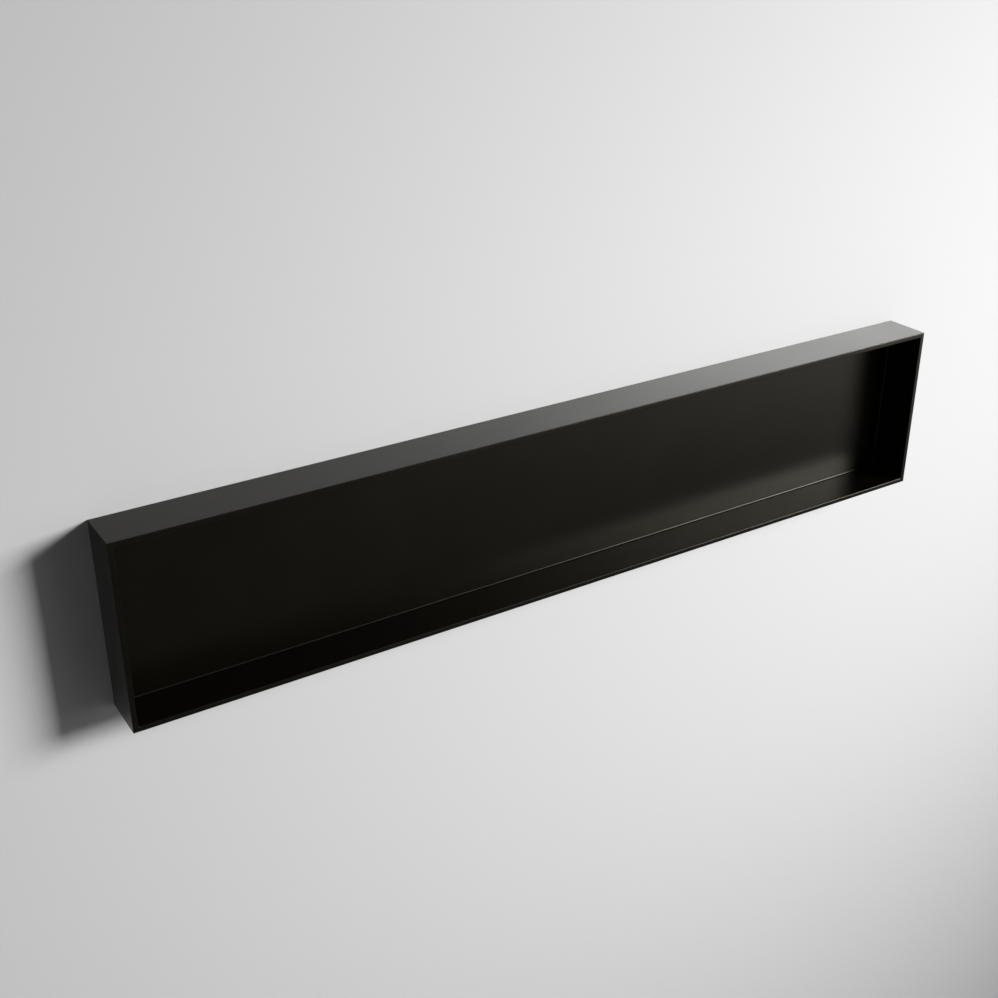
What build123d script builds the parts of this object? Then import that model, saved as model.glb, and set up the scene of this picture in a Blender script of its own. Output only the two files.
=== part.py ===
# Shower niche insert: one long, shallow, open-fronted box in black solid surface.
# Five panels of the same sheet are bonded and sanded until no seam shows, so the box is a single solid.
# Frame: millimetres, origin at the middle of the back face, +X to the right as seen from the front,
# +Y into the wall, +Z up. The opening faces -Y.
import os

from build123d import *

# overall size of the box
width = 1495.0
height = 295.0
depth = 80.0

# sheet thickness of the four sides and of the back panel
side_thickness = 8.0
back_thickness = 8.0

# edges: a hand-eased radius on the outside and the rim, a bonding cove in every inner corner,
# and a small chamfer round the back face that keeps the sealant
edge_radius = 1.0
cove_radius = 2.0
back_chamfer = 0.5

# the recess is what the sides and the back panel leave
recess_width = width - 2 * side_thickness
recess_height = height - 2 * side_thickness
recess_depth = depth - back_thickness

with BuildPart() as niche_box:
    # solid block from the wall face forwards
    with BuildSketch(Plane.XZ):
        Rectangle(width, height)
    block = extrude(amount=depth)
    corner_edges = block.edges().filter_by(Axis.Y)
    front_edges = block.faces().sort_by(Axis.Y)[0].edges()
    fillet(corner_edges + front_edges, radius=edge_radius)

    # recess, cut from the front down to the back panel
    with BuildSketch(Plane.XZ.offset(depth)):
        Rectangle(recess_width, recess_height)
    extrude(amount=-recess_depth, mode=Mode.SUBTRACT)

    # coves where the panels meet inside: along the corners and all round the back panel
    mouth_edges, corner_edges, floor_edges = niche_box.edges(Select.LAST).group_by(Axis.Y)
    fillet(corner_edges + floor_edges, radius=cove_radius)

    # the rim is eased towards the recess as it is on the outside
    rim = niche_box.faces().filter_by(Axis.Y).sort_by(Axis.Y)[0]
    fillet(rim.inner_wires().edges(), radius=edge_radius)

    # the back face is left square but for its chamfer
    back_face = niche_box.faces().filter_by(Axis.Y).sort_by(Axis.Y)[-1]
    chamfer(back_face.outer_wire().edges(), length=back_chamfer)

niche_box.part.label = "niche_box"

os.makedirs("parts", exist_ok=True)
export_step(niche_box.part, "parts/niche_box.step")
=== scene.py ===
import math

import bpy
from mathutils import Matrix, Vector


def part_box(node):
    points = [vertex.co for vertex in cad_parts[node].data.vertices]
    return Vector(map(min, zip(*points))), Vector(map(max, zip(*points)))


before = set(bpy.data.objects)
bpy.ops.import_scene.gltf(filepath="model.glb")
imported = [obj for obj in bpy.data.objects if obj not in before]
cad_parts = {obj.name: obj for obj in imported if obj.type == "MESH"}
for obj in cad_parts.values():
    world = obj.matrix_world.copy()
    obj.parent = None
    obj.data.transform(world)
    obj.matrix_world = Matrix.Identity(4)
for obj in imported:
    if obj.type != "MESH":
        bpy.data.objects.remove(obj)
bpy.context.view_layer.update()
low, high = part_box("niche_box")
mm = 0.001
print("frame loaded:", ", ".join(sorted(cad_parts)))


def hexToLinear(code):
    channels = [int(code[i:i + 2], 16) / 255 for i in (1, 3, 5)]
    return tuple(c / 12.92 if c <= 0.04045 else ((c + 0.055) / 1.055) ** 2.4 for c in channels) + (1.0,)


def addNode(tree, kind, inputs=None, **settings):
    # an input is a plain value, or another node's output that is linked to it
    node = tree.nodes.new(kind)
    for name, value in settings.items():
        setattr(node, name, value)
    for name, value in (inputs or {}).items():
        if isinstance(value, bpy.types.NodeSocket):
            tree.links.new(value, node.inputs[name])
        else:
            node.inputs[name].default_value = value
    return node


def newMaterial(name):
    material = bpy.data.materials.new(name)
    material.use_nodes = True
    material.node_tree.nodes.clear()
    return material, material.node_tree


# Black solid surface, a mineral-filled acrylic sheet, sanded by random orbit and rubbed down with a pad.
# It gives the eye a deep, slightly warm black with an even satin sheen that grows at low angles.
nicheFinish = {
    "black": "#030201",         # body colour where the sanding has closed up
    "haze": "#070604",          # where the scratches stand a little more open
    "rawBack": "#2A2926",       # coarse-sanded back, left greyer for the adhesive
    "ior": 1.49,                # acrylic
    "gloss": 0.23,              # 0.5 is a closed face: the sanded pores swallow over half of it
    "glossTint": "#FFF9DD",     # the gloss is faintly warm
    "roughness": 0.31,
    "patchDrift": 0.012,        # how far the hand-sanded patches drift in roughness
    "burnish": 0.03,            # eased edges and coves are rubbed smoother than the panels
    "rawRoughness": 0.7,
    "patch": 120 * mm,          # reach of one hand-sanded patch
    "patchSpan": (0.3, 0.7),    # noise values at which the drift is full, either way
    "grain": 2.5 * mm,          # the filler's grain is about 0.1 mm: drawn coarser so that it shows
    "swirl": 16 * mm,           # the pad's orbit is about 5 mm: drawn coarser so that it shows
    "swirlRings": 5,
    "stroke": 4 * mm,           # strokes on the back are under 1 mm apart: drawn coarser so that they show
    "strokeStretch": 25,        # a stroke is this many times longer than it is wide
    "relief": 0.005 * mm,
    "rawRelief": 0.15 * mm,
    "rawFrom": 0.4 * mm,        # the raw back fades in from this far in front of the back face
    "rawFull": 0.1 * mm,        # and is full from here
    "flatFacing": 0.995,        # a panel's normal lies at least this much along one axis
    "roundFacing": 0.93,        # well into an eased edge or a cove it lies no more than this along any
}


def makeNicheFinish(finish):
    material, tree = newMaterial("sandedBlackSolidSurface")
    coords = addNode(tree, "ShaderNodeTexCoord")
    place = coords.outputs["Object"]

    # 1 on the back face, 0 in front of its chamfer
    placeAxes = addNode(tree, "ShaderNodeSeparateXYZ", {"Vector": place})
    onBack = addNode(tree, "ShaderNodeMapRange", {
        "Value": placeAxes.outputs["Y"],
        "From Min": high.y - finish["rawFrom"], "From Max": high.y - finish["rawFull"]})

    # 1 on the eased edges and coves, 0 on the flat panels
    facing = addNode(tree, "ShaderNodeVectorMath", {0: coords.outputs["Normal"]}, operation="ABSOLUTE")
    facingAxes = addNode(tree, "ShaderNodeSeparateXYZ", {"Vector": facing.outputs["Vector"]})
    acrossOrDeep = addNode(tree, "ShaderNodeMath", {
        0: facingAxes.outputs["X"], 1: facingAxes.outputs["Y"]}, operation="MAXIMUM")
    squareOn = addNode(tree, "ShaderNodeMath", {
        0: acrossOrDeep.outputs["Value"], 1: facingAxes.outputs["Z"]}, operation="MAXIMUM")
    onEdge = addNode(tree, "ShaderNodeMapRange", {
        "Value": squareOn.outputs["Value"],
        "From Min": finish["flatFacing"], "From Max": finish["roundFacing"]})

    # hand-sanded patches, wide and faint
    patches = addNode(tree, "ShaderNodeTexNoise", {
        "Vector": place, "Scale": 1 / finish["patch"], "Detail": 2.0, "Roughness": 0.5})
    # grain of the filler
    grain = addNode(tree, "ShaderNodeTexNoise", {
        "Vector": place, "Scale": 1 / finish["grain"], "Detail": 1.0})
    # rings round scattered centres: the swirls that a random-orbit pad leaves
    swirl = addNode(tree, "ShaderNodeTexVoronoi", {"Vector": place, "Scale": 1 / finish["swirl"]})
    ringTurns = addNode(tree, "ShaderNodeMath", {
        0: swirl.outputs["Distance"], 1: 2 * math.pi * finish["swirlRings"]}, operation="MULTIPLY")
    rings = addNode(tree, "ShaderNodeMath", {0: ringTurns.outputs["Value"]}, operation="SINE")
    # straight strokes along the length of the back
    strokeRun = addNode(tree, "ShaderNodeMapping", {
        "Vector": place, "Scale": (1 / finish["strokeStretch"], 1.0, 1.0)})
    strokes = addNode(tree, "ShaderNodeTexNoise", {
        "Vector": strokeRun.outputs["Vector"], "Scale": 1 / finish["stroke"],
        "Detail": 4.0, "Roughness": 0.6})

    # colour: black, hazed a little by patch and grain, greyer on the raw back
    hazeShare = addNode(tree, "ShaderNodeMath", {
        0: patches.outputs["Fac"], 1: grain.outputs["Fac"]}, operation="MULTIPLY")
    panelColour = addNode(tree, "ShaderNodeMix", {
        0: hazeShare.outputs["Value"], 6: hexToLinear(finish["black"]), 7: hexToLinear(finish["haze"])},
        data_type="RGBA")
    rawShare = addNode(tree, "ShaderNodeMath", {
        0: onBack.outputs["Result"], 1: strokes.outputs["Fac"]}, operation="MULTIPLY")
    colour = addNode(tree, "ShaderNodeMix", {
        0: rawShare.outputs["Value"], 6: panelColour.outputs[2], 7: hexToLinear(finish["rawBack"])},
        data_type="RGBA")

    # roughness: drifts with the patches, smoother on edges and coves, open on the raw back
    smoothPatch, roughPatch = finish["patchSpan"]
    panelRough = addNode(tree, "ShaderNodeMapRange", {
        "Value": patches.outputs["Fac"], "From Min": smoothPatch, "From Max": roughPatch,
        "To Min": finish["roughness"] - finish["patchDrift"],
        "To Max": finish["roughness"] + finish["patchDrift"]})
    edgeRough = addNode(tree, "ShaderNodeMath", {
        0: onEdge.outputs["Result"], 1: -finish["burnish"], 2: panelRough.outputs["Result"]},
        operation="MULTIPLY_ADD")
    rough = addNode(tree, "ShaderNodeMix", {
        0: onBack.outputs["Result"], 2: edgeRough.outputs["Value"], 3: finish["rawRoughness"]})

    # relief: swirls and grain on the panels, strokes on the back
    panelHeight = addNode(tree, "ShaderNodeMath", {
        0: rings.outputs["Value"], 1: grain.outputs["Fac"]}, operation="ADD")
    panelRelief = addNode(tree, "ShaderNodeBump", {
        "Strength": 1.0, "Distance": finish["relief"], "Height": panelHeight.outputs["Value"]})
    relief = addNode(tree, "ShaderNodeBump", {
        "Strength": 1.0, "Distance": finish["rawRelief"], "Height": rawShare.outputs["Value"],
        "Normal": panelRelief.outputs["Normal"]})

    shader = addNode(tree, "ShaderNodeBsdfPrincipled", {
        "Base Color": colour.outputs[2], "Roughness": rough.outputs[0], "Normal": relief.outputs["Normal"],
        "IOR": finish["ior"], "Specular IOR Level": finish["gloss"],
        "Specular Tint": hexToLinear(finish["glossTint"])})
    addNode(tree, "ShaderNodeOutputMaterial", {"Surface": shader.outputs["BSDF"]})
    return material


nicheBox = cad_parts["niche_box"]
nicheBox.data.materials.clear()
nicheBox.data.materials.append(makeNicheFinish(nicheFinish))
print("niche finished:", len(nicheBox.data.polygons), "faces")


# The wall that carries the niche and the floor below it, both plain and pale.
stageWall = {
    "colour": "#CBCBCB",
    "gloss": 1.0,         # of the sealed face, which hands the lamp on to the niche's top
    "ior": 1.65,
    "roughness": 0.36,
    "gap": 0.5 * mm,      # clear of the back face
    "cut": 1.5 * mm,      # opening behind the niche, this far inside its outline, so that its back is lit
    "reach": 2.6,         # how far the wall runs past the opening on every side
}
stageFloor = {
    "colour": "#A6A6A6",
    "gloss": 0.5,
    "ior": 1.5,
    "roughness": 0.5,
    "level": -2.05,       # just below the picture
    "side": 16.0,
}


def metFromBehind(tree):
    # 1 where a view from behind meets the back of the wall
    side = addNode(tree, "ShaderNodeNewGeometry")
    rays = addNode(tree, "ShaderNodeLightPath")
    backSeen = addNode(tree, "ShaderNodeMath", {
        0: side.outputs["Backfacing"], 1: rays.outputs["Is Camera Ray"]}, operation="MULTIPLY")
    return backSeen.outputs["Value"]


def pastWall(tree):
    # 1 on what such a view shows once it has passed the wall
    rays = addNode(tree, "ShaderNodeLightPath")
    wallPassed = addNode(tree, "ShaderNodeMath", {
        0: rays.outputs["Transparent Depth"], 1: 0.5}, operation="GREATER_THAN")
    return wallPassed.outputs["Value"]


def makeStageMaterial(name, look, isClear):
    # matt where it is looked at, so that no lamp shows in it, and sealed where the niche mirrors it
    material, tree = newMaterial(name)
    paint = hexToLinear(look["colour"])
    sealed = addNode(tree, "ShaderNodeBsdfPrincipled", {
        "Base Color": paint, "Roughness": look["roughness"], "IOR": look["ior"],
        "Specular IOR Level": look["gloss"]})
    matt = addNode(tree, "ShaderNodeBsdfPrincipled", {"Base Color": paint, "Specular IOR Level": 0.0})
    rays = addNode(tree, "ShaderNodeLightPath")
    face = addNode(tree, "ShaderNodeMixShader", {
        0: rays.outputs["Is Camera Ray"], 1: sealed.outputs["BSDF"], 2: matt.outputs["BSDF"]})
    clear = addNode(tree, "ShaderNodeBsdfTransparent")
    surface = addNode(tree, "ShaderNodeMixShader", {
        0: isClear(tree), 1: face.outputs["Shader"], 2: clear.outputs["BSDF"]})
    addNode(tree, "ShaderNodeOutputMaterial", {"Surface": surface.outputs["Shader"]})
    return material


def makeStage(wall, floor):
    bpy.ops.object.select_all(action="DESELECT")
    middle, size = (low + high) / 2, high - low
    grow = 2 * (wall["reach"] - wall["cut"])
    bpy.ops.mesh.primitive_plane_add(
        size=1, location=(middle.x, high.y + wall["gap"], middle.z), rotation=(math.pi / 2, 0, 0))
    panel = bpy.context.object
    panel.name = "stageWall"
    panel.scale = (size.x + grow, size.z + grow, 1)
    bpy.ops.object.transform_apply()
    bpy.ops.object.mode_set(mode="EDIT")
    bpy.ops.mesh.inset(thickness=wall["reach"])  # leaves the opening's face selected
    bpy.ops.mesh.delete(type="FACE")
    bpy.ops.object.mode_set(mode="OBJECT")
    panel.data.materials.append(makeStageMaterial("palePlainWall", wall, metFromBehind))

    bpy.ops.mesh.primitive_plane_add(size=floor["side"], location=(0, -floor["side"] / 2, floor["level"]))
    ground = bpy.context.object
    ground.name = "stageFloor"
    ground.data.materials.append(makeStageMaterial("palePlainFloor", floor, pastWall))


makeStage(stageWall, stageFloor)
print("wall and floor set")


# One large soft lamp at the right front, as the shadow on the wall asks, a wide, faint one low down that
# lifts the recess, and one behind for the back face. Spread is the opening of the lamp's grid, in degrees.
lamps = {
    "keySoftbox": {
        "place": (4.2, -3.66, 1.6), "aim": (-0.1, 0, -0.25), "size": (2.3, 1.9), "watts": 89, "spread": 66},
    "lowFill": {
        "place": (2.2, -2.5, -0.55), "aim": (0.2, 0, 0), "size": (2.8, 1.1), "watts": 4.6, "spread": 120},
    "backSoftbox": {
        "place": (-1.4, 2.4, 1.5), "aim": (0, 0, 0), "size": (1.6, 1.6), "watts": 60, "spread": 120},
}
# The air is pale to look at and in reflections. As a light it is dim before the wall and bright behind it,
# and turn is how far past the wall's plane a direction leans where it is bright in full.
studioAir = {"seen": 0.45, "front": 0.01, "behind": 0.85, "turn": 0.1}


def pointAt(holder, target):
    holder.rotation_euler = (Vector(target) - holder.location).to_track_quat("-Z", "Y").to_euler()


def makeLights(lamps, air):
    for name, lamp in lamps.items():
        light = bpy.data.lights.new(name, "AREA")
        light.shape = "RECTANGLE"
        light.size, light.size_y = lamp["size"]
        light.energy = lamp["watts"]
        light.spread = math.radians(lamp["spread"])
        holder = bpy.data.objects.new(name, light)
        bpy.context.scene.collection.objects.link(holder)
        holder.location = lamp["place"]
        pointAt(holder, lamp["aim"])

    world = bpy.data.worlds.new("studioAir")
    bpy.context.scene.world = world
    world.use_nodes = True
    # its strength goes by the kind of ray, so only rays that reach it count
    world.cycles.sampling_method = "NONE"
    tree = world.node_tree
    tree.nodes.clear()
    coords = addNode(tree, "ShaderNodeTexCoord")
    heading = addNode(tree, "ShaderNodeSeparateXYZ", {"Vector": coords.outputs["Generated"]})
    asLight = addNode(tree, "ShaderNodeMapRange", {
        "Value": heading.outputs["Y"], "From Min": 0.0, "From Max": air["turn"],
        "To Min": air["front"], "To Max": air["behind"]})
    rays = addNode(tree, "ShaderNodeLightPath")
    lookedAt = addNode(tree, "ShaderNodeMath", {
        0: rays.outputs["Is Camera Ray"], 1: rays.outputs["Is Glossy Ray"]}, operation="ADD")
    lookedAtOrThrough = addNode(tree, "ShaderNodeMath", {
        0: lookedAt.outputs["Value"], 1: rays.outputs["Is Transmission Ray"]},
        operation="ADD", use_clamp=True)
    strength = addNode(tree, "ShaderNodeMix", {
        0: lookedAtOrThrough.outputs["Value"], 2: asLight.outputs["Result"], 3: air["seen"]})
    glow = addNode(tree, "ShaderNodeBackground", {"Color": (1, 1, 1, 1), "Strength": strength.outputs[0]})
    addNode(tree, "ShaderNodeOutputWorld", {"Surface": glow.outputs["Background"]})


makeLights(lamps, studioAir)
print("lights on:", ", ".join(lamps))


# The photograph's view: above the niche and to its left, with a normal lens.
photoView = {"place": (-1.159, -1.663, 0.983), "aim": (-0.130, -0.04, 0.031), "lens": 50, "sensor": 36}


def makeCamera(view):
    camera = bpy.data.cameras.new("photoView")
    camera.lens, camera.sensor_width = view["lens"], view["sensor"]
    holder = bpy.data.objects.new("photoView", camera)
    bpy.context.scene.collection.objects.link(holder)
    holder.location = view["place"]
    pointAt(holder, view["aim"])
    bpy.context.scene.camera = holder


makeCamera(photoView)
bpy.context.scene.view_settings.view_transform = "Standard"
print("camera placed")
